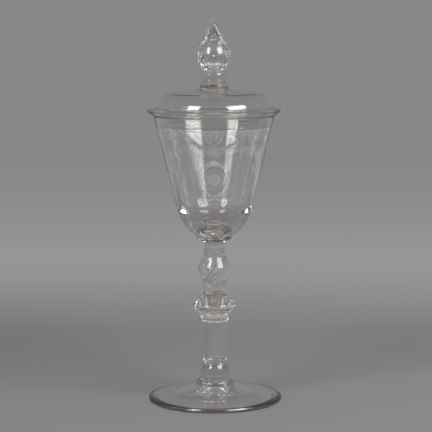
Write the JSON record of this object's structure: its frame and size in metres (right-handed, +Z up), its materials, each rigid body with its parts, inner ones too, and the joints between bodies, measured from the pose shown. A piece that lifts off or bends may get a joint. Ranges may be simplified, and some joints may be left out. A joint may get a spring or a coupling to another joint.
{
  "type": "covered goblet",
  "caption": "Clear glass covered goblet: engraved funnel bowl on a knopped stem with a twisted baluster and a spreading foot, closed by a loose domed cover with a pointed finial.",
  "frame": {"origin": "centre of the foot, on the plane that the foot rests on", "axes": "+Z up along the axis of stem, bowl and cover; -Y towards the front of the engraving"},
  "size_m": [0.112, 0.112, 0.32],
  "materials": {
    "clear_glass": "fire-polished clear glass with a faint grey tint",
    "engraved_glass": "fire-polished clear glass with matt wheel-engraved ornament"
  },
  "bodies": {
    "goblet": {"foot": "clear_glass", "foot_collar": "clear_glass", "basal_knop": "clear_glass", "stem_column": "clear_glass", "beaded_knop": "clear_glass", "knop_collar": "clear_glass", "twisted_baluster": "clear_glass", "stem_neck": "clear_glass", "bowl_collar": "clear_glass", "bowl": "engraved_glass"},
    "cover": {"cover_shell": "clear_glass", "cover_flange": "clear_glass", "finial_collar": "clear_glass", "finial_neck": "clear_glass", "finial_ball": "clear_glass", "finial_spire": "clear_glass"}
  },
  "joints": [
    {"name": "cover_lift", "type": "slide", "parent": "goblet", "child": "cover", "axis": [0, 0, 1], "range_m": [0, 0.12]}
  ]
}
